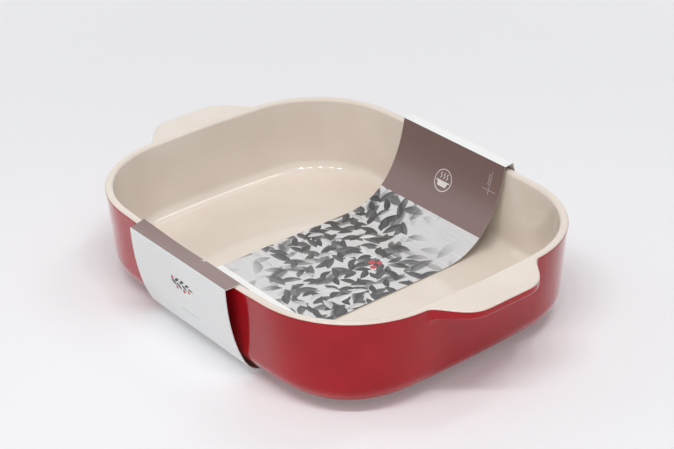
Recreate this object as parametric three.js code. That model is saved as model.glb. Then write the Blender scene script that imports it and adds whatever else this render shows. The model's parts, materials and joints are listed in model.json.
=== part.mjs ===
// Rectangular stoneware baking dish with two tab handles, standing in a folded card sleeve.
// Millimetres, +Z up. X runs from handle to handle, and the sleeve wraps the dish in Y and Z,
// with its front at -Y. The origin is on the table, under the middle of the dish.

import * as THREE from 'three';

// Dish
const RIM_LENGTH = 297; // end to end, without the handles
const RIM_WIDTH = 240;
const DISH_HEIGHT = 67; // foot to rim
const CORNER_RADIUS = 73; // rim corner, in plan
const LONG_SIDE_RADIUS = 1400; // slow bow of the long sides, in plan
const END_RADIUS = 830; // slow bow of the ends, in plan
const WALL_THICKNESS = 5.8;
const WALL_DRAFT = 7; // how far a wall leans in between rim and foot
const CORNER_FULLNESS = 3; // how much less it leans in at the corners, outside
const FLOOR_THICKNESS = 9;
const INNER_FILLET = 10; // wall to floor, inside
const OUTER_FILLET = 18; // wall to base, outside
const RIM_INNER_ROUND = 2.2;
const RIM_OUTER_ROUND = 1.5;
const FOOT_HEIGHT = 2.2;
const FOOT_WIDTH = 6;
const FOOT_SETBACK = 1.5; // foot ring in from the end of the outer fillet
const FOOT_CHAMFER = 0.5;

// Tab handles, flush with the rim
const HANDLE_REACH = 21.5; // beyond the rim
const HANDLE_THICKNESS = 6.5;
const HANDLE_EDGE_WIDTH = 24; // straight outer edge
const HANDLE_ROOT_WIDTH = 95; // where the S-curves have run out into the rim
const HANDLE_EASE = 1.65; // above 1, an S-curve is slow at the outer corner and tight at the rim
const HANDLE_UNDER_ROUND = 2.4;
const HANDLE_ROOT_FILLET = 8;

// Glaze coats
const GLAZE_THICKNESS = 0.5;
const GLAZE_GAP = 0.1; // between clay and glaze
const GLAZE_SEAM = 0.3; // bare line between the two colours, below the rim's outer round

// Card sleeve
const CARD_THICKNESS = 0.5;
const SLEEVE_WIDTH = 103.5;
const FIT_GAP = 0.3; // card to dish, where they touch
const FOLD_CLEARANCE = 0.2; // between the faces of two panels that meet at a crease
const FRONT_STANDOFF = 6.5; // front crease out from the rim
const FRONT_LEAN = 1.2; // how far the front panel leans in below its top crease
const REAR_SETBACK = 0.8; // rear crease in from the rim's outer edge
const REAR_LIFT = 3.5; // rear inner crease above where the card would lie on the rim
const REAR_RISE = 0.7; // from the rear inner crease to the rear crease
const REAR_FOLD_PULL = 22;
const REAR_CREASE_PULL = 15.3;
const REAR_LEAN = THREE.MathUtils.degToRad(17.5); // rear panel over the rim, from upright
const BEND_CLEARANCE = 1; // card out from the dish's lower fillet
const BEND_FOLD_ANGLE = THREE.MathUtils.degToRad(27); // fold's place on the lower bend, below level
const REAR_INNER_GAP = 2.8; // rear inner crease in from the rim's inner edge
const FRONT_INNER_GAP = 4.2; // front sweep in from the rim's inner edge, at the strip's level
const FRONT_TUCK = 5.7; // how far short of that level the inner panel's front edge stops
const SWEEP_REACH = 56; // from an inner crease to where the card meets the floor
const SWEEP_FLOOR_PULL = 35;
const SWEEP_WALL_PULL = 32;
const SWEEP_LEAN = THREE.MathUtils.degToRad(9);
const STRIP_WIDTH = 12.2; // front crease to the strip's inner edge, at its wider half
const LOCK_STEP_AT = 12; // X of the step in the front strip's inner edge, at its slit lock
const LOCK_STEP_RUN = 4;
const LOCK_STEP_DEPTH = 1.5;

// Facets
const END_STEPS = 10;
const CORNER_STEPS = 8;
const SIDE_STEPS = 2;
const FILLET_STEPS = 4;
const ROUND_STEPS = 3;
const HANDLE_STEPS = 2;
const PANEL_STEPS = 8;
const SWEEP_STEPS = 12;

// Levels and walls worked out from the sizes above
const footPlane = CARD_THICKNESS + FIT_GAP;
const rimTop = footPlane + DISH_HEIGHT;
const baseLevel = footPlane + FOOT_HEIGHT;
const floorTop = baseLevel + FLOOR_THICKNESS;
const halfLength = RIM_LENGTH / 2;
const halfWidth = RIM_WIDTH / 2;
const wallSlope = WALL_DRAFT / DISH_HEIGHT;
const wallAngle = Math.atan(wallSlope);
const quarterTurn = Math.PI / 2;

function arc(centre, radius, from, to, steps) {
  return Array.from({ length: steps + 1 }, (_, i) => {
    const angle = from + ((to - from) * i) / steps;
    return new THREE.Vector2(
      centre.x + radius * Math.cos(angle),
      centre.y + radius * Math.sin(angle),
    );
  });
}

// Moves an open line sideways, to the left of its direction, keeping every stretch parallel.
function offsetLine(points, distance) {
  const normals = points.slice(1).map((point, i) => {
    const along = point.clone().sub(points[i]).normalize();
    return new THREE.Vector2(-along.y, along.x);
  });
  return points.map((point, i) => {
    const before = normals[Math.max(i - 1, 0)];
    const after = normals[Math.min(i, normals.length - 1)];
    const mitre = before.clone().add(after).divideScalar(1 + before.dot(after));
    return point.clone().addScaledVector(mitre, distance);
  });
}

function shortenLine(points, atStart, atEnd) {
  const line = points.map((point) => point.clone());
  const last = line.length - 1;
  const startWay = points[1].clone().sub(points[0]).normalize();
  const endWay = points[last - 1].clone().sub(points[last]).normalize();
  line[0].addScaledVector(startWay, atStart);
  line[last].addScaledVector(endWay, atEnd);
  return line;
}

// The rim in plan: three tangent arcs a quarter, each station with its outward normal.
function quarterRim() {
  const longCentre = new THREE.Vector2(0, halfWidth - LONG_SIDE_RADIUS);
  const endCentre = new THREE.Vector2(halfLength - END_RADIUS, 0);
  const toLong = LONG_SIDE_RADIUS - CORNER_RADIUS;
  const toEnd = END_RADIUS - CORNER_RADIUS;
  const between = endCentre.clone().sub(longCentre);
  const span = between.length();
  const along = (toLong ** 2 - toEnd ** 2 + span ** 2) / (2 * span);
  const aside = Math.sqrt(toLong ** 2 - along ** 2);
  const way = between.normalize();
  const corner = longCentre.clone().addScaledVector(way, along);
  corner.add(new THREE.Vector2(way.y, -way.x).multiplyScalar(aside));
  const endAngle = corner.clone().sub(endCentre).angle();
  const longAngle = corner.clone().sub(longCentre).angle();
  const runs = [
    [endCentre, END_RADIUS, 0, endAngle, END_STEPS],
    [corner, CORNER_RADIUS, endAngle, longAngle, CORNER_STEPS],
    [longCentre, LONG_SIDE_RADIUS, longAngle, quarterTurn, SIDE_STEPS],
  ];
  const stations = runs.flatMap(([centre, radius, from, to, steps]) => {
    const points = arc(centre, radius, from, to, steps).slice(0, -1);
    return points.map((point) => ({ point, normal: point.clone().sub(centre).normalize() }));
  });
  stations.push({ point: new THREE.Vector2(0, halfWidth), normal: new THREE.Vector2(0, 1) });
  return stations;
}

function turnStation({ point, normal }, signX, signY) {
  const signs = new THREE.Vector2(signX, signY);
  return { point: point.clone().multiply(signs), normal: normal.clone().multiply(signs) };
}

// Whole rim, counter-clockwise from +X, with each station's share of the handle and of the corner.
function rimStations() {
  const first = quarterRim();
  const second = first.map((station) => turnStation(station, -1, 1)).reverse();
  const half = [...first.slice(0, -1), ...second];
  const otherHalf = half.map((station) => turnStation(station, -1, -1));
  const loop = [...half.slice(0, -1), ...otherHalf.slice(0, -1)];
  return loop.map(({ point, normal }) => {
    const past = (Math.abs(point.y) - HANDLE_EDGE_WIDTH / 2) / (HANDLE_ROOT_WIDTH - HANDLE_EDGE_WIDTH) * 2;
    const run = THREE.MathUtils.smoothstep(Math.max(past, 0) ** HANDLE_EASE, 0, 1);
    const fullReach = (halfLength + HANDLE_REACH - Math.abs(point.x)) / Math.abs(normal.x);
    const corner = (2 * normal.x * normal.y) ** 2;
    return { point, normal, share: 1 - run, fullReach: run < 1 ? fullReach : 0, corner };
  });
}

// Sections are drawn in (distance out from the rim line, height).
const wallAt = (height, setIn = 0) => -setIn - wallSlope * (rimTop - height);

function filletCentre(setIn, level, radius) {
  const tangentHeight = level + radius * (1 - Math.sin(wallAngle));
  return new THREE.Vector2(
    wallAt(tangentHeight, setIn) - radius * Math.cos(wallAngle),
    level + radius,
  );
}

const innerFillet = filletCentre(WALL_THICKNESS, floorTop, INNER_FILLET);
const outerFillet = filletCentre(0, baseLevel, OUTER_FILLET);

// Cream side: from the edge of the flat floor up the wall and over the rim or the handle's top.
function insideLine({ share, fullReach }) {
  const floorRound = arc(innerFillet, INNER_FILLET, -quarterTurn, -wallAngle, FILLET_STEPS);
  const innerEdge = new THREE.Vector2(RIM_INNER_ROUND - WALL_THICKNESS, rimTop - RIM_INNER_ROUND);
  const rimRound = arc(innerEdge, RIM_INNER_ROUND, Math.PI, quarterTurn, ROUND_STEPS);
  const outerEdge = new THREE.Vector2(share * fullReach - RIM_OUTER_ROUND, rimTop - RIM_OUTER_ROUND);
  return [...floorRound, ...rimRound, ...arc(outerEdge, RIM_OUTER_ROUND, quarterTurn, 0, ROUND_STEPS)];
}

// Red side: from the rim's outer edge, round the handle where there is one, down to the base.
function outsideLine({ share, fullReach, corner }) {
  const seam = new THREE.Vector2(share * fullReach, rimTop - RIM_OUTER_ROUND - GLAZE_SEAM);
  const underside = rimTop - HANDLE_THICKNESS;
  const underRound = new THREE.Vector2(fullReach - HANDLE_UNDER_ROUND, underside + HANDLE_UNDER_ROUND);
  const rootRound = new THREE.Vector2(
    wallAt(underside - HANDLE_ROOT_FILLET) + HANDLE_ROOT_FILLET,
    underside - HANDLE_ROOT_FILLET,
  );
  const handle = [
    ...arc(underRound, HANDLE_UNDER_ROUND, 0, -quarterTurn, HANDLE_STEPS),
    ...arc(rootRound, HANDLE_ROOT_FILLET, quarterTurn, Math.PI, HANDLE_STEPS),
  ];
  const top = underRound.y;
  const bottom = rootRound.y;
  const handleSide = handle.map((tab, i) => {
    const height = THREE.MathUtils.lerp(top, bottom, i / (handle.length - 1));
    const wall = new THREE.Vector2(wallAt(height), height);
    return wall.lerp(tab, share);
  });
  const baseRound = arc(outerFillet, OUTER_FILLET, -wallAngle, -quarterTurn, FILLET_STEPS);
  return [seam, ...handleSide, ...baseRound].map(({ x: out, y: height }) => {
    const fullness = (CORNER_FULLNESS * corner * (rimTop - height)) / DISH_HEIGHT;
    return new THREE.Vector2(out + fullness, height);
  });
}

// Joins rings of equal count into one closed skin; an open run is capped flat at both ends.
function loft(rings, closed) {
  const count = rings[0].length;
  const positions = rings.flat();
  const index = [];
  const lastRing = closed ? rings.length : rings.length - 1;
  for (let i = 0; i < lastRing; i++) {
    const here = i * count;
    const next = ((i + 1) % rings.length) * count;
    for (let j = 0; j < count; j++) {
      const k = (j + 1) % count;
      const rising = positions[here + j].distanceTo(positions[next + k]);
      const falling = positions[next + j].distanceTo(positions[here + k]);
      if (rising < falling) {
        index.push(here + j, next + j, next + k, here + j, next + k, here + k);
      } else {
        index.push(here + j, next + j, here + k, next + j, next + k, here + k);
      }
    }
  }
  if (!closed) {
    const finish = (rings.length - 1) * count;
    const top = positions.push(new THREE.Vector3(0, 0, rings[0][0].z)) - 1;
    const bottom = positions.push(new THREE.Vector3(0, 0, rings.at(-1)[0].z)) - 1;
    for (let j = 0; j < count; j++) {
      const k = (j + 1) % count;
      index.push(top, j, k, bottom, finish + k, finish + j);
    }
  }
  const geometry = new THREE.BufferGeometry().setFromPoints(positions);
  geometry.setIndex(index);
  geometry.computeVertexNormals();
  return geometry;
}

const stations = rimStations();

// One ring for each point of the section, carried round all the stations.
function ringsOf(sectionAt) {
  const sections = stations.map((station) => sectionAt(station));
  return sections[0].map((_, i) => stations.map(({ point, normal }, j) => {
    const { x: out, y: height } = sections[j][i];
    return new THREE.Vector3(point.x + normal.x * out, point.y + normal.y * out, height);
  }));
}

// The glazed face of the dish, both colours in one skin, and the same skin sunk below it.
const faceRings = ringsOf((station) => [...insideLine(station), ...outsideLine(station)]);
const insideCount = insideLine(stations[0]).length;
const faceNormals = loft(faceRings, false).getAttribute('normal');

function sunkRings(depth) {
  return faceRings.map((ring, i) => ring.map((point, j) => {
    const normal = new THREE.Vector3().fromBufferAttribute(faceNormals, i * ring.length + j);
    return point.clone().addScaledVector(normal, -depth);
  }));
}

const footOuter = outerFillet.x - FOOT_SETBACK;
const footInner = footOuter - FOOT_WIDTH;
const glazeBack = sunkRings(GLAZE_THICKNESS);

function stonewareBody() {
  const clayDepth = GLAZE_THICKNESS + GLAZE_GAP;
  const footTop = baseLevel + clayDepth;
  const foot = ringsOf(() => [
    new THREE.Vector2(footOuter, footTop),
    new THREE.Vector2(footOuter - FOOT_CHAMFER, footPlane),
    new THREE.Vector2(footInner + FOOT_CHAMFER, footPlane),
    new THREE.Vector2(footInner, footTop),
  ]);
  return loft([...sunkRings(clayDepth), ...foot], false);
}

function interiorGlaze() {
  const back = glazeBack.slice(0, insideCount);
  return loft([...faceRings.slice(0, insideCount), ...back.reverse()], false);
}

function exteriorGlaze() {
  const back = glazeBack.slice(insideCount);
  return loft([...faceRings.slice(insideCount), ...back.reverse()], true);
}

function baseGlaze() {
  const edge = footInner - FIT_GAP;
  const section = () => [
    new THREE.Vector2(edge, baseLevel + GLAZE_THICKNESS),
    new THREE.Vector2(edge, baseLevel),
  ];
  return loft(ringsOf(section), false);
}

// Sleeve, drawn as the middle line of the card in (Y, Z). Each panel ends short of its crease.
const foldSetback = CARD_THICKNESS / 2 + FOLD_CLEARANCE;
const stripLevel = rimTop + FIT_GAP + CARD_THICKNESS / 2;
const floorCardLevel = floorTop + FIT_GAP + CARD_THICKNESS / 2;
const bendRadius = OUTER_FILLET + BEND_CLEARANCE;
const bendCentre = new THREE.Vector2(halfWidth + outerFillet.x, CARD_THICKNESS / 2 + bendRadius);
const rimInner = halfWidth - WALL_THICKNESS;
const rearInnerCrease = new THREE.Vector2(rimInner - REAR_INNER_GAP, stripLevel + REAR_LIFT);
const frontSweepTop = new THREE.Vector2(-rimInner + FRONT_INNER_GAP, stripLevel);
const rearCrease = new THREE.Vector2(halfWidth - REAR_SETBACK, rearInnerCrease.y + REAR_RISE);
const frontCrease = new THREE.Vector2(-halfWidth - FRONT_STANDOFF, stripLevel);

const mirrorLine = (line) => line.map(({ x, y }) => new THREE.Vector2(-x, y));

// From the fold on the lower bend down to the flat under the dish, at the rear.
const lowerBend = arc(bendCentre, bendRadius, -BEND_FOLD_ANGLE, -quarterTurn, FILLET_STEPS);

function basePanelLine() {
  const line = [...mirrorLine(lowerBend), ...lowerBend.toReversed()];
  return shortenLine(line, foldSetback, foldSetback);
}

// Front panel from its lower fold up to its crease, mirrored to the rear.
function frontPanelLine() {
  const [fold] = lowerBend;
  const [crease] = mirrorLine([frontCrease]);
  const pull = new THREE.Vector2(crease.x - FRONT_LEAN, 0);
  pull.y = fold.y + (pull.x - fold.x) / Math.tan(BEND_FOLD_ANGLE);
  const line = new THREE.QuadraticBezierCurve(fold, pull, crease).getPoints(PANEL_STEPS);
  return shortenLine(line, foldSetback, foldSetback);
}

// Rear panel from its lower fold, bowed out past the rim and back in to its crease above it.
function rearPanelLine() {
  const [fold] = lowerBend;
  const foldWay = new THREE.Vector2(Math.sin(BEND_FOLD_ANGLE), Math.cos(BEND_FOLD_ANGLE));
  const foldPull = fold.clone().addScaledVector(foldWay, REAR_FOLD_PULL);
  const creaseWay = new THREE.Vector2(Math.sin(REAR_LEAN), -Math.cos(REAR_LEAN));
  const creasePull = rearCrease.clone().addScaledVector(creaseWay, REAR_CREASE_PULL);
  const line = new THREE.CubicBezierCurve(fold, foldPull, creasePull, rearCrease).getPoints(PANEL_STEPS);
  return shortenLine(line, foldSetback, foldSetback);
}

// From a place over the rim's inner edge down to the floor in one curve, at the rear.
function sweepLine(top) {
  const lean = new THREE.Vector2(Math.sin(SWEEP_LEAN), Math.cos(SWEEP_LEAN));
  const wallPull = top.clone().addScaledVector(lean, -SWEEP_WALL_PULL);
  const landing = new THREE.Vector2(top.x - SWEEP_REACH, floorCardLevel);
  const floorPull = new THREE.Vector2(landing.x + SWEEP_FLOOR_PULL, floorCardLevel);
  return new THREE.CubicBezierCurve(top, wallPull, floorPull, landing).getPoints(SWEEP_STEPS);
}

// Inner panel: down from the rear crease, along the floor and up under the front strip.
function innerPanelLine() {
  const rear = sweepLine(rearInnerCrease);
  const front = mirrorLine(sweepLine(mirrorLine([frontSweepTop])[0])).reverse();
  return shortenLine([...rear, ...front], foldSetback, FRONT_TUCK);
}

function cardPanel(line) {
  const half = CARD_THICKNESS / 2;
  const outline = [...offsetLine(line, half), ...offsetLine(line, -half).reverse()];
  const geometry = new THREE.ExtrudeGeometry(new THREE.Shape(outline), {
    depth: SLEEVE_WIDTH,
    bevelEnabled: false,
  });
  return geometry.translate(0, 0, -SLEEVE_WIDTH / 2);
}

// Front strip over the rim, in plan. Its inner edge has the step of the lock, where the two ends of
// the card hold each other.
function frontStrip() {
  const half = SLEEVE_WIDTH / 2;
  const lockEdge = frontCrease.x + STRIP_WIDTH;
  const shortEdge = lockEdge - LOCK_STEP_DEPTH;
  const outline = new THREE.Shape([
    new THREE.Vector2(-half, frontCrease.x),
    new THREE.Vector2(half, frontCrease.x),
    new THREE.Vector2(half, lockEdge),
    new THREE.Vector2(LOCK_STEP_AT + LOCK_STEP_RUN, lockEdge),
    new THREE.Vector2(LOCK_STEP_AT, shortEdge),
    new THREE.Vector2(-half, shortEdge),
  ]);
  return new THREE.ExtrudeGeometry(outline, { depth: CARD_THICKNESS, bevelEnabled: false });
}

const clay = new THREE.MeshStandardMaterial({ color: 0xcfc6b8, roughness: 0.9, metalness: 0 });
const creamGlaze = new THREE.MeshStandardMaterial({ color: 0xe0d4c5, roughness: 0.15, metalness: 0 });
const redGlaze = new THREE.MeshStandardMaterial({ color: 0x9c2a30, roughness: 0.12, metalness: 0 });
const whiteCard = new THREE.MeshStandardMaterial({ color: 0xe6e6e6, roughness: 0.6, metalness: 0 });
const brownCard = new THREE.MeshStandardMaterial({ color: 0x785d59, roughness: 0.5, metalness: 0 });
const printedCard = new THREE.MeshStandardMaterial({ color: 0xa8a8a8, roughness: 0.45, metalness: 0 });

function mesh(name, geometry, material) {
  const piece = new THREE.Mesh(geometry, material);
  piece.name = name;
  return piece;
}

const dish = new THREE.Group();
dish.add(
  mesh('stoneware_body', stonewareBody(), clay),
  mesh('interior_glaze', interiorGlaze(), creamGlaze),
  mesh('exterior_glaze', exteriorGlaze(), redGlaze),
  mesh('base_glaze', baseGlaze(), redGlaze),
);

// The panels are drawn in (X, Y) and extruded along Z, which this group turns to (Y, Z) and X.
const sleeve = new THREE.Group();
const sleeveAxes = [new THREE.Vector3(0, 1, 0), new THREE.Vector3(0, 0, 1), new THREE.Vector3(1, 0, 0)];
sleeve.quaternion.setFromRotationMatrix(new THREE.Matrix4().makeBasis(...sleeveAxes));
const rearStripLine = shortenLine([rearCrease, rearInnerCrease], foldSetback, foldSetback);
sleeve.add(
  mesh('sleeve_base_panel', cardPanel(basePanelLine()), whiteCard),
  mesh('sleeve_front_panel', cardPanel(mirrorLine(frontPanelLine())), whiteCard),
  mesh('sleeve_rear_panel', cardPanel(rearPanelLine()), whiteCard),
  mesh('sleeve_rear_rim_strip', cardPanel(rearStripLine), whiteCard),
  mesh('sleeve_inner_panel', cardPanel(innerPanelLine()), printedCard),
);

const strip = mesh('sleeve_front_rim_strip', frontStrip(), brownCard);
strip.position.z = stripLevel - CARD_THICKNESS / 2;

const bakingDish = new THREE.Group();
bakingDish.add(dish, sleeve, strip);

export default bakingDish;
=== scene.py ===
# %% [markdown]
# # A stoneware baking dish in its card sleeve
# The solids of this dish are already modelled at their real size, and they come in as a fixed frame.
# Everything made below goes where a solid is, in metres, so nothing has to be fitted afterwards.

# %% Load the frame
import json
import math

import bpy
import numpy as np
from mathutils import Matrix, Vector


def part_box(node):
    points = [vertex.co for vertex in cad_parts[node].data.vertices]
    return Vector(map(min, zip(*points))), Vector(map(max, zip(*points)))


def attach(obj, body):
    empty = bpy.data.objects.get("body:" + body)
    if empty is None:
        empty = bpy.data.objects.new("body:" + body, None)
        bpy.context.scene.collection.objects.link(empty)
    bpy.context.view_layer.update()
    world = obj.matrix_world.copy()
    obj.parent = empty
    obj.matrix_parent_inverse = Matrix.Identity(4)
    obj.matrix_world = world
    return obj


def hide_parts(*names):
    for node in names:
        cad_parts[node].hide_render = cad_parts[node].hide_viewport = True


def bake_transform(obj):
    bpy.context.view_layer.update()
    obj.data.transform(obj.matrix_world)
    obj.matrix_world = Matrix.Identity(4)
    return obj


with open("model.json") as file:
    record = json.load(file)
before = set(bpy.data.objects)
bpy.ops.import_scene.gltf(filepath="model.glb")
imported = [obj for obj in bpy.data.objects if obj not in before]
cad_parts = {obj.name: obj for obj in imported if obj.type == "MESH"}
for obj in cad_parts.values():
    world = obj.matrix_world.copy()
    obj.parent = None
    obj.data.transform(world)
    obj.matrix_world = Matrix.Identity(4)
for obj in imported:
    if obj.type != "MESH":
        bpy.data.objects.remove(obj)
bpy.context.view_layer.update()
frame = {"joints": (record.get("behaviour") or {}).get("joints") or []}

# %% [markdown]
# ## The camera
# The picture was taken from above one corner with a long lens. A camera can be aimed by eye, but here its
# angle, distance and lens were solved from the rim, the handles and the card's edges, so they are plain
# numbers. The small roll is the picture's own: the dish stands a little turned in the frame.

# %% Aim the camera
AZIMUTH = math.radians(50.83)
ELEVATION = math.radians(29.29)
ROLL = math.radians(-0.91)
DISTANCE = 1.1815
AIM = Vector((-0.0173, 0.0185, 0.032))
FOCAL_PIXELS = 1705.1
PICTURE_WIDTH_PIXELS = 674
SENSOR_WIDTH_MM = 36


def place_camera():
    back = Vector((
        math.sin(AZIMUTH) * math.cos(ELEVATION),
        -math.cos(AZIMUTH) * math.cos(ELEVATION),
        math.sin(ELEVATION),
    ))
    level = Vector((0, 0, 1)).cross(back).normalized()
    upright = back.cross(level)
    right = math.cos(ROLL) * level + math.sin(ROLL) * upright
    place = Matrix((right, back.cross(right), back)).transposed().to_4x4()
    place.translation = AIM + DISTANCE * back
    lens = bpy.data.cameras.new("camera")
    lens.sensor_width = SENSOR_WIDTH_MM
    lens.lens = FOCAL_PIXELS / PICTURE_WIDTH_PIXELS * SENSOR_WIDTH_MM
    camera = bpy.data.objects.new("camera", lens)
    camera.matrix_world = place
    bpy.context.scene.collection.objects.link(camera)
    bpy.context.scene.camera = camera
    return camera


camera = place_camera()
bpy.context.scene.view_settings.view_transform = "Standard"
print("lens, mm:", round(camera.data.lens, 1), "height, m:", round(camera.location.z, 3))

# %% [markdown]
# ## Nodes as sentences
# A finish is a small calculation on every point of a surface. Wiring it by hand takes one line for each
# node and two for its links. This class holds one output socket instead, so that a sum of two sockets
# in Python adds a Math node to the tree, and `make` adds any other node.

# %% A socket that can be calculated with
class Wire:
    """One output socket in a node tree. Arithmetic on wires adds Math nodes."""

    def __init__(self, tree, socket=None):
        self.tree = tree
        self.socket = socket

    def make(self, kind, settings=None, inputs=None, output=0):
        """Adds a node: its settings first, then its sockets' values or links. Returns an output, if any."""
        node = self.tree.nodes.new(kind)
        for name, value in (settings or {}).items():
            setattr(node, name, value)
        for key, value in (inputs or {}).items():
            self.feed(self.find(node.inputs, key), value)
        return None if output is None else Wire(self.tree, self.find(node.outputs, output))

    @staticmethod
    def find(sockets, key):
        if isinstance(key, int):
            return sockets[key]
        return next((s for s in sockets if s.identifier == key), None) or sockets[key]

    def feed(self, socket, value):
        if isinstance(value, Wire):
            self.tree.links.new(value.socket, socket)
        else:
            socket.default_value = value

    def math(self, operation, *values):
        inputs = dict(enumerate((self, *values)))
        return self.make("ShaderNodeMath", {"operation": operation}, inputs)

    def __add__(self, other):
        return self.math("ADD", other)

    def __sub__(self, other):
        return self.math("SUBTRACT", other)

    def __mul__(self, other):
        return self.math("MULTIPLY", other)

    def __truediv__(self, other):
        return self.math("DIVIDE", other)

    def __rsub__(self, other):
        return self.make("ShaderNodeMath", {"operation": "SUBTRACT"}, {0: other, 1: self})

    def __gt__(self, other):
        return self.math("GREATER_THAN", other)

    def __abs__(self):
        return self.math("ABSOLUTE")

    __radd__ = __add__
    __rmul__ = __mul__


print("operators on a wire: + - * / > abs")

# %% [markdown]
# ## Steps, mixes and noise
# Most finishes need the same few things: a soft step, a mix of two colours, a noise, and a relief too shallow
# to model. Each gets a short name here. Colours are written as a picture editor shows them, and turned to the
# linear light that shaders calculate in.

# %% Helpers for finishes
def ramp_up(value, low, high):
    """0 below low, 1 above high, and a smooth step between them."""
    inputs = {"Value": value, "From Min": low, "From Max": high}
    return value.make("ShaderNodeMapRange", {"interpolation_type": "SMOOTHSTEP"}, inputs)


def mix_colour(factor, first, second):
    inputs = {"Factor_Float": factor, "A_Color": first, "B_Color": second}
    return factor.make("ShaderNodeMix", {"data_type": "RGBA"}, inputs, "Result_Color")


def noise(start, coordinates, scale, detail=2.0):
    inputs = {"Vector": coordinates, "Scale": scale, "Detail": detail}
    return start.make("ShaderNodeTexNoise", None, inputs)


def object_place(start):
    """Where a point lies on its own object, in metres."""
    return start.make("ShaderNodeTexCoord", None, None, "Object")


def relief(start, height, depth, strength=1.0):
    """A normal that leans as it would on a relief so many metres deep."""
    return start.make("ShaderNodeBump", None, {"Strength": strength, "Distance": depth, "Height": height})


def colour(red, green, blue):
    """A colour as a picture editor writes it, 0 to 255, turned to the linear light that shaders use."""
    parts = [c / 255 for c in (red, green, blue)]
    linear = [p / 12.92 if p <= 0.04045 else ((p + 0.055) / 1.055) ** 2.4 for p in parts]
    return (*linear, 1.0)


def grey(tone):
    return colour(tone, tone, tone)


def start_material(name):
    material = bpy.data.materials.new(name)
    material.use_nodes = True
    return material, Wire(material.node_tree)


def dress(material, looks):
    """Sets the surface's sockets by name, each to a plain value or to a wire. Returns its output."""
    surface = material.node_tree.nodes["Principled BSDF"]
    output = Wire(material.node_tree, surface.outputs[0])
    for name, value in looks.items():
        output.feed(surface.inputs[name], value)
    return output


print("half grey in linear light:", round(grey(128)[0], 3))

# %% [markdown]
# ## The table
# The picture is a plain product shot on a white table that runs on as its own backdrop. A bent sheet of paper
# could do that, but it would stand in the way of other views. More light isn't what makes the backdrop white
# either: for rays that come straight from the camera, or off something glossy, the table itself turns to
# plain white further out. Beside the dish it keeps the shadow, but a small share of the same white glow lies
# over it there too: painted light that makes the shadow paler.

# %% White table
TABLE_WHITE = colour(246, 246, 248)
TABLE_ROUGHNESS = 0.55
TABLE_SHINE = 0.2
TABLE_HALF = 6.0
TABLE_DROP = 0.0003  # below the card, so that the two faces don't coincide
HAZE_RUN = (0.25, 1.1)  # metres from the dish, over which the table turns into its backdrop
# beside the dish a share of white glow lies over the table's shadow: painted light that makes the shadow paler
GLOW_OVER_SHADOW = 0.15  # share of the haze beside the dish, which keeps its shadow light
VIEW_RAYS = ("Camera", "Glossy", "Transmission")


def seen_directly(start):
    """1 for what is seen, also in a mirror or through glass, and 0 for light on its way to a surface."""
    rays = [start.make("ShaderNodeLightPath", None, None, f"Is {kind} Ray") for kind in VIEW_RAYS]
    return rays[0].math("MAXIMUM", rays[1]).math("MAXIMUM", rays[2])


def table_finish():
    material, start = start_material("white_table")
    plain = dress(material, {
        "Base Color": TABLE_WHITE, "Roughness": TABLE_ROUGHNESS, "Specular IOR Level": TABLE_SHINE,
    })
    away = start.make("ShaderNodeVectorMath", {"operation": "LENGTH"}, {"Vector": object_place(start)}, "Value")
    haze = start.make("ShaderNodeEmission", None, {"Color": TABLE_WHITE, "Strength": 1.0})
    # the glow starts above zero beside the dish, as painted light over the shadow, and grows to plain white
    # further out
    share = (GLOW_OVER_SHADOW + (1 - GLOW_OVER_SHADOW) * ramp_up(away, *HAZE_RUN)) * seen_directly(start)
    both = start.make("ShaderNodeMixShader", None, {0: share, 1: plain, 2: haze})
    start.feed(material.node_tree.nodes["Material Output"].inputs["Surface"], both)
    return material


def lay_table():
    signs = ((-1, -1), (1, -1), (1, 1), (-1, 1))
    corners = [(TABLE_HALF * x, TABLE_HALF * y, -TABLE_DROP) for x, y in signs]
    mesh = bpy.data.meshes.new("table")
    mesh.from_pydata(corners, [], [(0, 1, 2, 3)])
    mesh.materials.append(table_finish())
    table = bpy.data.objects.new("table", mesh)
    bpy.context.scene.collection.objects.link(table)


lay_table()
print("table:", 2 * TABLE_HALF, "m wide, plain white from", HAZE_RUN[1], "m out")

# %% [markdown]
# ## The sky
# All round the table there is only white. As light, a white sky would flatten every form, so it is weak for
# light on its way to a surface, and plain white only where it is seen or mirrored.

# %% White sky
SKY_WHITE = (0.96, 0.97, 1.0, 1.0)
SKY_STRENGTH = 0.2


def light_sky():
    world = bpy.data.worlds.new("white_sky")
    world.use_nodes = True
    world.node_tree.nodes.clear()
    start = Wire(world.node_tree)
    lighting = start.make("ShaderNodeBackground", None, {"Color": SKY_WHITE, "Strength": SKY_STRENGTH})
    seen = start.make("ShaderNodeBackground", None, {"Color": TABLE_WHITE, "Strength": 1.0})
    both = start.make("ShaderNodeMixShader", None, {0: seen_directly(start), 1: lighting, 2: seen})
    start.make("ShaderNodeOutputWorld", None, {"Surface": both}, output=None)
    bpy.context.scene.world = world


light_sky()
print("strength of the sky as light:", SKY_STRENGTH)

# %% [markdown]
# ## The lamps
# The light is so soft that hardly a shadow has an edge. One big lamp could give that, but glaze mirrors
# whatever shines on it, and small sparks sit along the inner fillet. So most of the light comes from a row of
# bulbs under a broad lamp, and a narrow strip at the back draws the line that the sparks sit on. Weak fills
# from the sides and in front keep the card white.

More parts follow.
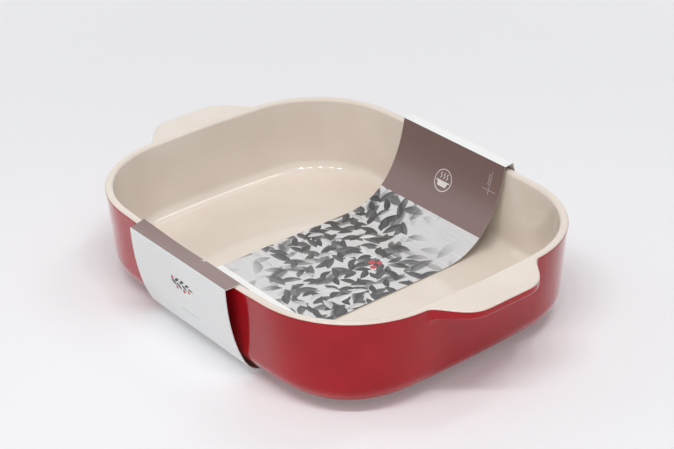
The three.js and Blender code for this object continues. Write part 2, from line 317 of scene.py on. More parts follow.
# %% Broad lamps and a row of bulbs
DISH_MIDDLE = Vector((0, 0, 0.035))
BROAD_LAMPS = (  # name, place, size, watts
    ("overhead", (0.34, -0.34, 1.5), (1.6, 1.6), 5.4),
    ("backdrop", (-1.28, 1.05, 1.0), (1.6, 1.0), 1.8),
    ("rear", (0.0, 1.6, 0.9), (1.4, 0.9), 1.7),
    ("left_fill", (-1.05, -0.85, 0.85), (1.2, 0.9), 2.8),
    ("front_fill", (0.6, -1.4, 0.6), (1.4, 0.9), 2.0),
    ("right_fill", (1.4, -0.3, 0.5), (1.2, 0.8), 1.6),
    ("strip", (0.12, 0.74, 1.25), (0.14, 0.5), 2.0),
)
BULB_MIDDLE = Vector((0.34, -0.34, 1.45))
BULB_ROW = Vector((0.63, 0.77, 0.0))
BULB_SHIFTS = (-0.6, -0.35, -0.1, 0.15, 0.4)  # metres along the row
BULB_SIZE = (0.13, 0.13)
BULB_WATTS = 2.0


def hang_lamp(name, place, size, watts):
    lamp = bpy.data.lights.new(name, "AREA")
    lamp.shape = "RECTANGLE"
    lamp.size, lamp.size_y = size
    lamp.energy = watts
    piece = bpy.data.objects.new(name, lamp)
    piece.location = place
    piece.rotation_euler = (DISH_MIDDLE - Vector(place)).to_track_quat("-Z", "Y").to_euler()
    bpy.context.scene.collection.objects.link(piece)
    return piece


lamps = [hang_lamp(*row) for row in BROAD_LAMPS]
for number, shift in enumerate(BULB_SHIFTS):
    lamps.append(hang_lamp(f"bulb_{number}", BULB_MIDDLE + shift * BULB_ROW, BULB_SIZE, BULB_WATTS))
print("lamps:", ", ".join(f"{lamp.name} {lamp.data.energy:.1f} W" for lamp in lamps))

# %% [markdown]
# ## Cream glaze
# The inside, the rim and the tops of the handles have a glossy cream glaze. It could be one flat colour, but
# fired glaze is never quite even: its tone drifts slowly, its gloss varies, and its surface ripples a little,
# which breaks up every highlight. Soft noises do all three, and the ripple is a relief of less than 0.1 mm.

# %% Cream glaze
DRIFT_LIMITS = (0.3, 0.7)  # a noise seldom goes further, so both tones are reached
RIPPLES = ((95.0, 0.7), (420.0, 0.3))  # scale of a noise, and its share of the relief
RIPPLE_DETAIL = 1.0
CREAM_TONES = colour(225, 212, 199), colour(231, 220, 208)
CREAM_DRIFT, CREAM_GLOSS, CREAM_RIPPLE = (16.0, 3.0), (0.04, 0.04, 60.0), 0.00007
CREAM_MIRROR = {"IOR": 1.5}


def glaze(name, tones, drift, gloss, ripple, mirror):
    """drift: scale and detail of the noise between the tones. gloss: roughness, what its noise adds, and that
    noise's scale. ripple: depth in metres. mirror: sockets that are the same all over."""
    material, start = start_material(name)
    place = object_place(start)
    slow, fine = (share * noise(start, place, scale, RIPPLE_DETAIL) for scale, share in RIPPLES)
    least, more, scale = gloss
    dress(material, {
        "Base Color": mix_colour(ramp_up(noise(start, place, *drift), *DRIFT_LIMITS), *tones),
        "Roughness": least + more * noise(start, place, scale),
        "Normal": relief(start, slow + fine, ripple),
        **mirror,
    })
    return material


cream = glaze("cream_glaze", CREAM_TONES, CREAM_DRIFT, CREAM_GLOSS, CREAM_RIPPLE, CREAM_MIRROR)
print("cream glaze nodes:", len(cream.node_tree.nodes))

# %% [markdown]
# ## Red glaze
# The outside is a deep red of the same gloss. Most of the pink in the picture isn't in the glaze: it is the
# white room mirrored in it, more so where the wall turns away. So the colour itself stays dark and clean,
# with a faint mottle. A thin clear coat over it adds little where the wall faces the camera, and more at its
# edges.

# %% Red glaze
RED_TONES = colour(169, 12, 25), colour(181, 17, 31)
RED_DRIFT, RED_GLOSS, RED_RIPPLE = (28.0, 4.0), (0.09, 0.07, 70.0), 0.00005
RED_MIRROR = {"IOR": 1.25, "Coat Weight": 1.0, "Coat IOR": 1.25, "Coat Roughness": 0.05}

red = glaze("red_glaze", RED_TONES, RED_DRIFT, RED_GLOSS, RED_RIPPLE, RED_MIRROR)
print("red glaze nodes:", len(red.node_tree.nodes))

# %% [markdown]
# ## Bare clay
# The foot ring is wiped clean of glaze before firing, so that the dish doesn't stick to the kiln shelf. The
# fired clay is matt and sandy, with darker grains.

# %% Bare clay
CLAY_TONES = colour(205, 192, 172), colour(150, 132, 112)
CLAY_ROUGHNESS = 0.85
CLAY_GRAIN = (1400.0, 4.0)  # scale and detail
CLAY_GRAIN_LIMITS = (0.52, 0.68)
CLAY_GRAIN_DEPTH, CLAY_GRAIN_STRENGTH = 0.0002, 0.6


def bare_clay():
    material, start = start_material("bare_clay")
    grain = noise(start, object_place(start), *CLAY_GRAIN)
    dress(material, {
        "Base Color": mix_colour(ramp_up(grain, *CLAY_GRAIN_LIMITS), *CLAY_TONES),
        "Roughness": CLAY_ROUGHNESS,
        "Normal": relief(start, grain, CLAY_GRAIN_DEPTH, CLAY_GRAIN_STRENGTH),
    })
    return material


clay = bare_clay()
print("clay nodes:", len(clay.node_tree.nodes))

# %% [markdown]
# ## The dish's rim line
# Seen from above, the dish is a rectangle whose sides all bow a little, with generous corners. It could be
# drawn as a rounded rectangle, but then the sides would be dead straight. Three arcs that run into each
# other without a kink make a quarter of it: a slow one for the end, a tight one for the corner and a slow
# one for the long side. Each station on the line keeps its outward normal, which the wall then follows.

# %% Stations round the rim
coat_low, coat_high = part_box("interior_glaze")
HANDLE_REACH = 0.0215
CORNER_RADIUS = 0.073
LONG_SIDE_RADIUS = 1.4
END_RADIUS = 0.83
END_STATIONS, CORNER_STATIONS, SIDE_STATIONS = 64, 40, 16

half_length = coat_high.x - HANDLE_REACH
half_width = coat_high.y
rim_top = coat_high.z


def arc(centre, radius, start, stop, steps):
    angles = np.linspace(start, stop, steps + 1)
    return np.array(centre) + radius * np.column_stack((np.cos(angles), np.sin(angles)))


def quarter_rim():
    """A quarter of the rim from +X to +Y, as points and outward normals."""
    end_centre = np.array((half_length - END_RADIUS, 0.0))
    long_centre = np.array((0.0, half_width - LONG_SIDE_RADIUS))
    to_long, to_end = LONG_SIDE_RADIUS - CORNER_RADIUS, END_RADIUS - CORNER_RADIUS
    between = end_centre - long_centre
    span = np.linalg.norm(between)
    way = between / span
    along = (to_long**2 - to_end**2 + span**2) / (2 * span)
    aside = math.sqrt(to_long**2 - along**2)
    corner = long_centre + along * way + aside * np.array((way[1], -way[0]))
    end_angle = math.atan2(*(corner - end_centre)[::-1])
    long_angle = math.atan2(*(corner - long_centre)[::-1])
    runs = [
        (end_centre, END_RADIUS, 0.0, end_angle, END_STATIONS),
        (corner, CORNER_RADIUS, end_angle, long_angle, CORNER_STATIONS),
        (long_centre, LONG_SIDE_RADIUS, long_angle, math.pi / 2, SIDE_STATIONS),
    ]
    points, normals = [], []
    for centre, radius, start, stop, steps in runs:
        line = arc(centre, radius, start, stop, steps)[:-1]
        points.append(line)
        normals.append((line - centre) / radius)
    points.append(np.array(((0.0, half_width),)))
    normals.append(np.array(((0.0, 1.0),)))
    return np.concatenate(points), np.concatenate(normals)


def whole_rim():
    """All the way round, counter-clockwise from +X: three more quarters by mirroring."""
    lines = []
    for line in quarter_rim():
        half = np.concatenate((line[:-1], line[::-1] * (-1, 1)))
        lines.append(np.concatenate((half[:-1], -half[:-1])))
    return lines


rim_points, rim_normals = whole_rim()
print("rim stations:", len(rim_points), "half length, mm:", round(1000 * half_length, 1))

# %% [markdown]
# ## Tab handles
# Each handle is a tab that grows out of the rim, flush with it on top, with a straight outer edge and an
# S-curve back into the rim on each side. A separate tab joined to the wall would need a seam. Instead
# every station has a share of the handle, 1 along the straight edge and 0 where the rim is plain, and the
# wall's section swells by that share. A smooth step between the two draws the S-curve by itself. The same
# list also says how much each station belongs to a corner, where the wall leans in a little less.

# %% How much handle each station has
HANDLE_EDGE_WIDTH = 0.024
HANDLE_ROOT_WIDTH = 0.095
HANDLE_EASE = 1.65  # above 1, an S-curve is slow at the outer corner and tight at the rim
LEAST_NORMAL = 0.1  # keeps the reach finite where the rim runs along the dish


def smooth_step(share):
    share = np.clip(share, 0, 1)
    return share * share * (3 - 2 * share)


past_edge = np.abs(rim_points[:, 1]) - HANDLE_EDGE_WIDTH / 2
run_out = np.maximum(past_edge, 0) / (HANDLE_ROOT_WIDTH - HANDLE_EDGE_WIDTH) * 2
handle_share = 1 - smooth_step(run_out**HANDLE_EASE)
handle_reach = np.where(
    handle_share > 0,
    (coat_high.x - np.abs(rim_points[:, 0])) / np.maximum(np.abs(rim_normals[:, 0]), LEAST_NORMAL),
    0.0,
)
corner_share = (2 * rim_normals[:, 0] * rim_normals[:, 1]) ** 2
print("stations with some handle:", int((handle_share > 0).sum()), "of", len(handle_share))

# %% [markdown]
# ## The wall's section
# The shell is one section carried round the rim: out along the floor, up a drafted wall, over the rim's two
# rounds, down the outside and round the lower fillet to the base. Sections are drawn as distance out from
# the rim line and height. The outside of a plain wall and the outside of a handle have the same number of
# points, so a station anywhere on the S-curve is a mix of the two.

# %% Inside and outside lines
foot_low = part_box("stoneware_body")[0].z
base_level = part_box("exterior_glaze")[0].z
COAT_THICKNESS = 0.0005
WALL_THICKNESS = 0.0058
WALL_DRAFT = 0.007
CORNER_FULLNESS = 0.003  # how much less a wall leans in at the corners, outside
INNER_FILLET = 0.010
OUTER_FILLET = 0.018
FOOT_SETBACK = 0.0015
RIM_INNER_ROUND = 0.0022
RIM_OUTER_ROUND = 0.0015
COLOUR_LINE_ANGLE = math.radians(25)  # where cream ends on the rim's outer round, above level
HANDLE_THICKNESS = 0.0065
HANDLE_UNDER_ROUND = 0.0024
HANDLE_ROOT_FILLET = 0.008
FILLET_STEPS, ROUND_STEPS, WALL_STEPS, TAB_STEPS, SEAM_STEPS = 14, 8, 6, 4, 3

floor_top = coat_low.z + COAT_THICKNESS
wall_slope = WALL_DRAFT / (rim_top - foot_low)
wall_angle = math.atan(wall_slope)


def wall_at(height, set_in=0.0):
    return -set_in - wall_slope * (rim_top - height)


def fillet_centre(set_in, level, radius):
    tangent = level + radius * (1 - math.sin(wall_angle))
    return np.array((wall_at(tangent, set_in) - radius * math.cos(wall_angle), level + radius))


inner_fillet = fillet_centre(WALL_THICKNESS, floor_top, INNER_FILLET)
outer_fillet = fillet_centre(0.0, base_level, OUTER_FILLET)
foot_outer = outer_fillet[0] - FOOT_SETBACK


def between(first, last, steps):
    """Evenly spaced points from first to last, without either."""
    shares = np.linspace(0, 1, steps + 1)[1:-1, None]
    return (1 - shares) * np.array(first) + shares * np.array(last)


def inside_line(share, reach, corner=0.0):
    """From the floor up and over the rim to the colour line. Corners don't change it."""
    floor_round = arc(inner_fillet, INNER_FILLET, -math.pi / 2, -wall_angle, FILLET_STEPS)
    inner_edge = (RIM_INNER_ROUND - WALL_THICKNESS, rim_top - RIM_INNER_ROUND)
    rim_round = arc(inner_edge, RIM_INNER_ROUND, math.pi - wall_angle, math.pi / 2, ROUND_STEPS)
    outer_edge = (share * reach - RIM_OUTER_ROUND, rim_top - RIM_OUTER_ROUND)
    outer_round = arc(outer_edge, RIM_OUTER_ROUND, math.pi / 2, COLOUR_LINE_ANGLE, ROUND_STEPS)
    wall = between(floor_round[-1], rim_round[0], WALL_STEPS)
    top = between(rim_round[-1], outer_round[0], TAB_STEPS)
    return np.concatenate((floor_round, wall, rim_round, top, outer_round))


def outside_line(share, reach, corner=0.0):
    """From the colour line down the wall, or round the handle, to the base."""
    outer_edge = (share * reach - RIM_OUTER_ROUND, rim_top - RIM_OUTER_ROUND)
    outer_round = arc(outer_edge, RIM_OUTER_ROUND, COLOUR_LINE_ANGLE, 0.0, SEAM_STEPS)
    underside = rim_top - HANDLE_THICKNESS
    under_round = (reach - HANDLE_UNDER_ROUND, underside + HANDLE_UNDER_ROUND)
    root_level = underside - HANDLE_ROOT_FILLET
    root_round = (wall_at(root_level) + HANDLE_ROOT_FILLET, root_level)
    edge = arc(under_round, HANDLE_UNDER_ROUND, 0.0, -math.pi / 2, ROUND_STEPS)
    root = arc(root_round, HANDLE_ROOT_FILLET, math.pi / 2, math.pi, ROUND_STEPS)
    tab = np.concatenate((edge, between(edge[-1], root[0], TAB_STEPS), root))
    heights = np.linspace(edge[0, 1], root_level, len(tab))
    plain = np.column_stack((wall_at(heights), heights))
    side = (1 - share) * plain + share * tab
    base_round = arc(outer_fillet, OUTER_FILLET, -wall_angle, -math.pi / 2, FILLET_STEPS)
    wall = between(side[-1], base_round[0], WALL_STEPS)
    line = np.concatenate((outer_round, side, wall, base_round))
    line[:, 0] += CORNER_FULLNESS * corner * (rim_top - line[:, 1]) / (rim_top - foot_low)
    return line


inside_count = len(inside_line(0.0, 0.0))
outside_count = len(outside_line(0.0, 0.0))
print("points in a section:", inside_count, "inside and", outside_count, "outside")

# %% [markdown]
# ## The loft
# Joining equal points of neighbouring sections gives rings, and rings give faces. The same rings, sunk
# along the surface's own normals, are the back of a glaze coat or the face of the clay below it. So the two
# coats and the clay fit each other everywhere, also on the S-curves.

# %% Rings, and a closed skin over them
SHARP_ANGLE = math.radians(50)


def carry_round(section_at):
    """Rings as an array of section points by stations by x, y and z."""
    sections = np.array([section_at(*shares) for shares in zip(handle_share, handle_reach, corner_share)])
    flat = rim_points[:, None, :] + sections[:, :, :1] * rim_normals[:, None, :]
    return np.concatenate((flat, sections[:, :, 1:]), axis=2).transpose(1, 0, 2)


def ring_normals(rings):
    along = np.roll(rings, -1, axis=1) - np.roll(rings, 1, axis=1)
    down = np.gradient(rings, axis=0)
    normals = np.cross(down, along)
    return normals / np.linalg.norm(normals, axis=2, keepdims=True)


def add_piece(name, mesh, material=None):
    if material:
        mesh.materials.append(material)
    mesh.shade_smooth()
    mesh.set_sharp_from_angle(angle=SHARP_ANGLE)
    piece = bpy.data.objects.new(name, mesh)
    bpy.context.scene.collection.objects.link(piece)
    return piece


def skin(name, rings, material, closed):
    """A piece over the rings: a closed band, or capped flat at its first and last ring."""
    count = rings.shape[1]
    points = rings.reshape(-1, 3).tolist()
    steps = [(i, i + 1) for i in range(len(rings) - 1)] + ([(len(rings) - 1, 0)] if closed else [])
    turn = [(j, (j + 1) % count) for j in range(count)]
    faces = [
        (here * count + j, there * count + j, there * count + k, here * count + k)
        for here, there in steps
        for j, k in turn
    ]
    if not closed:
        last = (len(rings) - 1) * count
        first_pole, last_pole = len(points), len(points) + 1
        points += [(0.0, 0.0, rings[0, 0, 2]), (0.0, 0.0, rings[-1, 0, 2])]
        faces += [(j, k, first_pole) for j, k in turn]
        faces += [(last + k, last + j, last_pole) for j, k in turn]
    mesh = bpy.data.meshes.new(name)
    mesh.from_pydata(points, [], faces)
    return add_piece(name, mesh, material)


face_rings = carry_round(lambda *shares: np.concatenate((inside_line(*shares), outside_line(*shares)[1:])))
face_normals = ring_normals(face_rings)
coat_back = face_rings - COAT_THICKNESS * face_normals
heights = np.round(1000 * face_rings[..., 2], 2)
print("rings:", face_rings.shape[:2], "from", heights.min(), "to", heights.max(), "mm high")

# %% [markdown]
# ## Two coats of glaze
# On the real dish the cream and the red are poured on separately, and they meet on the rim's outer edge,
# where the cream laps over. Here each coat is a thin closed shell: the rings of its face, and the same rings
# sunk by its thickness. A hair's width is left between the two coats, so that no two faces coincide.

# %% Cream inside, red outside
SEAM_SHARE = 0.15  # of the first step below the colour line


def coat(name, face, back, material, closed):
    return skin(name, np.concatenate((face, back[::-1])), material, closed)


def below_seam(rings):
    first = (1 - SEAM_SHARE) * rings[inside_count - 1] + SEAM_SHARE * rings[inside_count]
    return np.concatenate((first[None], rings[inside_count:]))


inner_coat = coat("cream_coat", face_rings[:inside_count], coat_back[:inside_count], cream, closed=False)
outer_coat = coat("red_coat", below_seam(face_rings), below_seam(coat_back), red, closed=True)
for piece, node, slot in (
    (inner_coat, "interior_glaze", "cream_glaze"),
    (outer_coat, "exterior_glaze", "red_glaze"),
):
    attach(piece, "dish")
    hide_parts(node)
print("faces of the coats:", len(inner_coat.data.polygons), len(outer_coat.data.polygons))

# %% [markdown]
# ## The clay and its foot
# The clay is everything under the glaze: the same rings sunk a little deeper, and below them a foot ring
# that lifts the base off the table. The ring is bare, and the base inside it has its own disc of red glaze.

# %% Clay body and base coat
GLAZE_GAP = 0.0001
FOOT_WIDTH = 0.006
FOOT_CHAMFER = 0.0005
BASE_EDGE_GAP = 0.0003


def level_ring(out, height):
    """A ring at one distance out from the rim line, and at one height."""
    flat = rim_points + out * rim_normals
    return np.column_stack((flat, np.full(len(flat), height)))


foot_inner = foot_outer - FOOT_WIDTH
under_glaze = base_level + COAT_THICKNESS + GLAZE_GAP
foot_line = [
    (foot_outer, under_glaze),
    (foot_outer, foot_low + FOOT_CHAMFER),
    (foot_outer - FOOT_CHAMFER, foot_low),
    (foot_inner + FOOT_CHAMFER, foot_low),
    (foot_inner, foot_low + FOOT_CHAMFER),
    (foot_inner, under_glaze),
]
clay_rings = np.concatenate((
    face_rings - (COAT_THICKNESS + GLAZE_GAP) * face_normals,
    [level_ring(out, height) for out, height in foot_line],
))
clay_body = skin("clay_body", clay_rings, clay, closed=False)
base_rings = np.array([
    level_ring(foot_inner - BASE_EDGE_GAP, height) for height in (base_level + COAT_THICKNESS, base_level)
])
base_coat = skin("base_coat", base_rings, red, closed=False)
for piece, node, slot in (
    (clay_body, "stoneware_body", "stoneware"),
    (base_coat, "base_glaze", "red_glaze"),
):
    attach(piece, "dish")
    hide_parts(node)
print("clay faces:", len(clay_body.data.polygons))

# %% [markdown]
# ## The sleeve's path
# The sleeve is one sheet of card. It goes down the front of the dish, under it, up the back, over the rear
# rim and down into the dish, where it runs along the floor and up to the front rim. Drawn from the side it is
# one line, and that line is all that has to be known. The creases it passes are joints of the frame, and
# between them the card lies straight, or springs away from the wall in slow curves. Such a curve needs only
# its two ends, and one or two points that pull on it.

# %% Creases and slow curves, in metres
hinges = {joint["name"]: Vector(joint["pos_m"]) for joint in frame["joints"] if "pos_m" in joint}
front_crease = hinges["front_strip_fold"]
inner_crease = hinges["inner_panel_lift"]
CARD_THICKNESS = 0.0005
BEND_STEPS, PANEL_STEPS, SWEEP_STEPS, FLAT_STEPS, ROUND_FOLD_STEPS = 16, 32, 48, 12, 6
MIRROR = np.array((-1, 1))


def slow_curve(points, steps):
    """From the first point to the last, drawn towards those between."""
    points = np.array(points)
    line = []
    for t in np.linspace(0, 1, steps + 1):
        row = points
        while len(row) > 1:
            row = (1 - t) * row[:-1] + t * row[1:]
        line.append(row[0])
    return np.array(line)


def way(angle):
    """One metre upwards, leaning out by an angle."""
    return np.array((math.sin(angle), math.cos(angle)))


def lengths_along(path):
    return np.concatenate(([0.0], np.cumsum(np.linalg.norm(np.diff(path, axis=0), axis=1))))


print("front and rear crease, mm high:", [round(1000 * crease.z, 1) for crease in (front_crease, inner_crease)])

# %% [markdown]
# ## Round the outside
# Under the dish the card lies flat and bends up at both sides, once drawn and once mirrored. The front panel
# only has to leave its bend smoothly. The rear panel bows out past the rim and comes back in to a crease that
# stands above it, from where a strip lies over the rim.

# %% Path of the wrap
BEND_RADIUS = 0.019
BEND_FOLD_ANGLE = math.radians(27)
FRONT_LEAN = 0.0012
REAR_SETBACK = 0.0008
REAR_RISE = 0.0007
REAR_FOLD_PULL = 0.022
REAR_CREASE_PULL = 0.0153
REAR_LEAN = math.radians(17.5)
CREASE_ROUND = 0.0006

base_middle = np.array((0.0, CARD_THICKNESS / 2))
bend_centre = np.array((half_width + outer_fillet[0], CARD_THICKNESS / 2 + BEND_RADIUS))
bend = arc(bend_centre, BEND_RADIUS, -math.pi / 2, -BEND_FOLD_ANGLE, BEND_STEPS)
base_half = np.concatenate((between(base_middle, bend[0], FLAT_STEPS), bend))
fold = bend[-1]

front_top = np.array((-front_crease.y, front_crease.z))
front_run = front_top[0] - FRONT_LEAN - fold[0]
front_pull = fold + front_run / math.sin(BEND_FOLD_ANGLE) * way(BEND_FOLD_ANGLE)
front_panel = slow_curve((fold, front_pull, front_top), PANEL_STEPS)

inner_top = np.array((inner_crease.y, inner_crease.z))
rear_top = np.array((half_width - REAR_SETBACK, inner_crease.z + REAR_RISE))
rear_pulls = fold + REAR_FOLD_PULL * way(BEND_FOLD_ANGLE), rear_top - REAR_CREASE_PULL * way(-REAR_LEAN)
rear_panel = slow_curve((fold, *rear_pulls, rear_top), PANEL_STEPS)
strip_way = (inner_top - rear_top) / np.linalg.norm(inner_top - rear_top)
crease_ends = rear_top - CREASE_ROUND * way(-REAR_LEAN), rear_top + CREASE_ROUND * strip_way
rear_crease = slow_curve((crease_ends[0], rear_top, crease_ends[1]), ROUND_FOLD_STEPS)
rear_strip = np.concatenate((between(crease_ends[1], inner_top, FLAT_STEPS), [inner_top]))

wrap_path = np.concatenate((
    np.concatenate((base_half, front_panel[1:]))[::-1] * MIRROR,
    [base_middle],
    base_half,
    rear_panel[1:-1],
    rear_crease,
    rear_strip,
))
print("length of the wrap, mm:", round(1000 * lengths_along(wrap_path)[-1], 1))

# %% [markdown]
# ## Inside the dish
# From the rear crease the card sweeps down to the dish's floor, lies on it, and sweeps up again to the front
# rim. Both sweeps are the same curve, and the front one is cut off below the rim, where it is tucked under
# the front strip.

# %% Path of the inner card
CARD_GAP = 0.0003
FRONT_SWEEP_TOP = 0.110
FRONT_TUCK = 0.0057  # how far short of the rim's level the inner part's free edge stops
SWEEP_REACH = 0.056
SWEEP_FLOOR_PULL = 0.035
SWEEP_WALL_PULL = 0.032
SWEEP_LEAN = math.radians(9)

card_floor = floor_top + CARD_GAP + CARD_THICKNESS / 2


def sweep_down(top):
    """From a place over the rim's inner edge down to the dish's floor, on the +Y side."""
    wall_pull = top - SWEEP_WALL_PULL * way(SWEEP_LEAN)
    landing = (top[0] - SWEEP_REACH, card_floor)
    floor_pull = (landing[0] + SWEEP_FLOOR_PULL, card_floor)
    return slow_curve((top, wall_pull, floor_pull, landing), SWEEP_STEPS)


rear_sweep = sweep_down(inner_top)
front_sweep = sweep_down(np.array((FRONT_SWEEP_TOP, front_crease.z)))[::-1] * MIRROR
front_sweep = front_sweep[front_sweep[:, 1] < front_crease.z - FRONT_TUCK]
floor_run = between(rear_sweep[-1], front_sweep[0], FLAT_STEPS)
inner_path = np.concatenate((rear_sweep, floor_run, front_sweep))
print("length of the inner card, mm:", round(1000 * lengths_along(inner_path)[-1], 1))

# %% [markdown]
# ## Card along a path
# A strip of card could be extruded by hand for each line. Geometry Nodes do it once for any line: they carry
# a flat rectangle along the path, close its ends, and put a round bead on the first crease, where a folded
# sheet is never sharp. They also note how far along the sheet each point lies, and mark the faces: 1 on the
# printed side, 0 on the back and a half on the cut edges. The finishes below then draw on the flat sheet.

# %% A ribbon in Geometry Nodes
BEAD_SIDES = 12


def ribbon_tree():
    tree = bpy.data.node_groups.new("card_ribbon", "GeometryNodeTree")
    tree.interface.new_socket("Path", in_out="INPUT", socket_type="NodeSocketGeometry")
    for name in ("Width", "Thickness", "Bead Radius"):
        tree.interface.new_socket(name, in_out="INPUT", socket_type="NodeSocketFloat")
    tree.interface.new_socket("Card", in_out="INPUT", socket_type="NodeSocketMaterial")
    tree.interface.new_socket("Mesh", in_out="OUTPUT", socket_type="NodeSocketGeometry")
    start = Wire(tree)
    group = tree.nodes.new("NodeGroupInput")
    path, width, thickness, bead, card = (Wire(tree, socket) for socket in group.outputs[:5])

    def store(geometry, name, kind, domain, value):
        settings = {"data_type": kind, "domain": domain}
        return start.make("GeometryNodeStoreNamedAttribute", settings, {
            "Geometry": geometry, "Name": name, "Value": value,
        })

    line = start.make("GeometryNodeMeshToCurve", None, {"Mesh": path})
    line = start.make("GeometryNodeSetCurveNormal", {"mode": "FREE"}, {"Curve": line, "Normal": (1, 0, 0)})
    length = start.make("GeometryNodeSplineParameter", None, None, "Length")
    line = store(line, "along", "FLOAT", "POINT", length)
    outline = start.make("GeometryNodeCurvePrimitiveQuadrilateral", {"mode": "RECTANGLE"}, {
        "Width": width, "Height": thickness,
    })
    place = start.make("GeometryNodeInputPosition")
    outline = store(outline, "profile", "FLOAT_VECTOR", "POINT", place)
    sheet = start.make("GeometryNodeCurveToMesh", None, {
        "Curve": line, "Profile Curve": outline, "Fill Caps": True,
    })
    vector = {"data_type": "FLOAT_VECTOR"}
    profile = start.make("GeometryNodeInputNamedAttribute", vector, {"Name": "profile"})
    depth = start.make("ShaderNodeSeparateXYZ", None, {"Vector": profile}, "Y")
    sheet = store(sheet, "printed", "FLOAT", "FACE", depth / thickness + 0.5)

    first = start.make("GeometryNodeSampleIndex", vector, {"Geometry": path, "Value": place, "Index": 0})
    half = start.make("ShaderNodeCombineXYZ", None, {"X": width / 2})
    crease = start.make("GeometryNodeCurvePrimitiveLine", {"mode": "POINTS"}, {
        "Start": first.make("ShaderNodeVectorMath", {"operation": "SUBTRACT"}, {0: first, 1: half}),
        "End": first.make("ShaderNodeVectorMath", {"operation": "ADD"}, {0: first, 1: half}),
    })
    ring = start.make("GeometryNodeCurvePrimitiveCircle", None, {"Resolution": BEAD_SIDES, "Radius": bead})
    roll = start.make("GeometryNodeCurveToMesh", None, {
        "Curve": crease, "Profile Curve": ring, "Fill Caps": True,
    })
    roll = store(roll, "printed", "FLOAT", "FACE", 1.0)
    both = tree.nodes.new("GeometryNodeJoinGeometry")
    for part in (roll, sheet):
        tree.links.new(part.socket, both.inputs[0])
    real = start.make("GeometryNodeRealizeInstances", None, {"Geometry": Wire(tree, both.outputs[0])})
    real = start.make("GeometryNodeSetMaterial", None, {"Geometry": real, "Material": card})
    start.make("NodeGroupOutput", None, {"Mesh": real}, None)
    return tree


ribbon = ribbon_tree()
print("ribbon nodes:", len(ribbon.nodes))

# %% [markdown]
# ## Drawing on the flat sheet
# A printer lays everything out on the sheet before it is folded. The finishes do the same: millimetres across
# the sheet and along it are the two axes of the drawing, and a shape is a number from 0 to 1 at each point.
# Bars, dots and leaves are enough here. A leaf is a bowed lens, and its half width falls off as a parabola.

# %% Bars, dots and leaves
INK_SPREAD = 0.12  # mm on each side of an edge
LEAF_FADE = 0.15  # mm
LEAF_BOW = 0.5  # of a leaf's half width


def vector_math(operation, first, *others):
    inputs = dict(enumerate((first, *others)))
    return first.make("ShaderNodeVectorMath", {"operation": operation}, inputs)


def split(vector):
    parts = vector.make("ShaderNodeSeparateXYZ", None, {"Vector": vector}).socket.node.outputs
    return [Wire(vector.tree, socket) for socket in parts]


def sheet_place(start):
    """Across the sheet and along it, in millimetres."""
    across = split(object_place(start))[0]
    along = start.make("ShaderNodeAttribute", {"attribute_name": "along"}, None, "Fac")
    return start.make("ShaderNodeCombineXYZ", None, {"X": 1000 * across, "Y": 1000 * along})


def band(value, low, high, soft=INK_SPREAD):
    """1 where a value lies from low to high."""
    return ramp_up(value, low - soft, low + soft) * (1 - ramp_up(value, high - soft, high + soft))


def bar(x, y, width, height):
    """1 in a rectangle that is given by a range of x and a range of y."""
    return band(x, *width) * band(y, *height)


def leaf(place, half_length, half_width, soft):
    """Cover of a leaf that lies along X about the origin, and the distance to its middle line."""
    run, side = split(place)[:2]
    share = run / half_length
    side = side - LEAF_BOW * half_width * share * share
    return ramp_up(half_width * (1 - share * share) - abs(side), 0.0, soft), side


def leaf_at(sheet, x, y, turn, half_length, half_width):
    inputs = {"Vector": sheet, "Center": (x, y, 0.0), "Angle": -math.radians(turn)}
    spun = sheet.make("ShaderNodeVectorRotate", {"rotation_type": "Z_AXIS"}, inputs)
    return leaf(vector_math("SUBTRACT", spun, (x, y, 0.0)), half_length, half_width, LEAF_FADE)[0]


def dot_at(sheet, x, y, radius):
    away = sheet.make("ShaderNodeVectorMath", {"operation": "DISTANCE"}, {0: sheet, 1: (x, y, 0.0)}, "Value")
    return 1 - ramp_up(away, radius - INK_SPREAD, radius + INK_SPREAD)


def either(*covers):
    joined = covers[0]
    for cover in covers[1:]:
        joined = joined.math("MAXIMUM", cover)
    return joined


print("drawing helpers:", ", ".join(helper.__name__ for helper in (bar, leaf_at, dot_at, either)))

# %% [markdown]
# ## White card
# The sleeve is solid board with a smooth white coating. Plain white would look like plastic, so its gloss is
# low, and a very fine grain keeps the light from lying quite even. The front has a small sprig with red
# berries and a hairline below it.

# %% White card with a sprig
CARD_WHITE = colour(243, 244, 243)
CARD_DIMMER = colour(240, 241, 240)
# darker grey brown for the cut edges of the printed card: painted shade
SHADE_PAINTED_EDGE = colour(176, 166, 158)
CHARCOAL = colour(62, 60, 62)
BERRY_RED = colour(196, 40, 48)
HAIRLINE_GREY = colour(168, 168, 170)
CARD_GRAIN = (2600.0, 3.0)  # scale and detail
CARD_GRAIN_DEPTH, CARD_GRAIN_STRENGTH = 0.0001, 0.25
CARD_DRIFT_SCALE = 22.0
CARD_DRIFT_LIMITS = (0.35, 0.65)
WHITE_ROUGHNESS, WHITE_SHINE = 0.5, 0.4
EDGE_MARK, PRINT_MARK = 0.25, 0.75  # from here up a face is a cut edge, or the printed side
SPRIG_LEAVES = (  # x, along, turn in degrees, half length, half width
    (-6.2, 20.6, 24, 3.4, 1.15),
    (-3.0, 17.4, -34, 3.2, 1.15),
    (-0.8, 21.4, 30, 3.4, 1.2),
    (2.6, 17.0, -30, 3.2, 1.1),
    (5.0, 20.6, 26, 3.1, 1.05),
    (8.2, 17.4, -22, 2.9, 0.95),
    (11.6, 19.3, 4, 2.9, 0.85),
)
SPRIG_BERRIES = ((-7.6, 17.4, 1.3), (-3.6, 23.6, 1.2), (4.0, 23.6, 1.4), (9.4, 21.8, 1.2))
SPRIG_STEM = ((-9.5, 10.5), (18.85, 19.25))
HAIRLINE = ((-6.0, 13.0), (41.9, 42.3))


